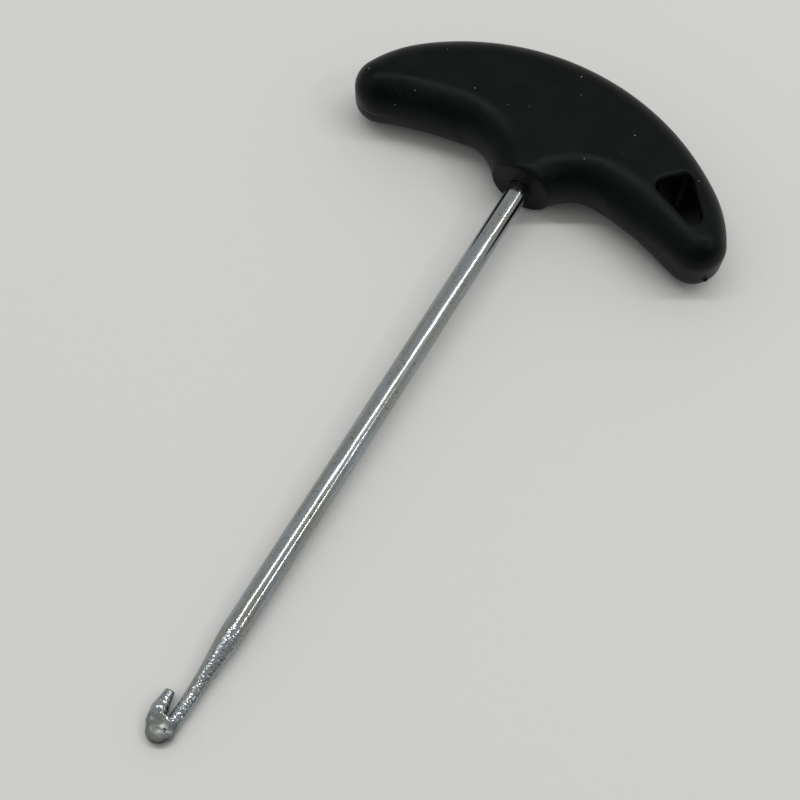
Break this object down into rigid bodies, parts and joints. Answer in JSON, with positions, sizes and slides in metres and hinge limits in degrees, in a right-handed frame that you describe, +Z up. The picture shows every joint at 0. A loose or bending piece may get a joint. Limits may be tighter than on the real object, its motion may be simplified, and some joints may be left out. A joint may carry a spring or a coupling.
{
  "type": "t-handle hook tool",
  "caption": "Hand tool with a moulded crescent grip set across one plated steel rod, which tapers and turns back into a tight hook for reaching in and pulling.",
  "frame": {"origin": "centre of the bounding box in X and Y, at the level of the table the tool rests on", "axes": "+Y from the hook towards the grip, X across the grip, +Z up; the tool lies at rest, its rod tilted 2.6 degrees about X"},
  "size_m": [0.108, 0.2052, 0.0204],
  "materials": {
    "grip_plastic": "satin black with a fine moulded grain",
    "plated_steel": "blue-white zinc plate over drawn wire"
  },
  "bodies": {
    "root": {"handle": "grip_plastic", "hook_rod": "plated_steel"}
  },
  "joints": []
}
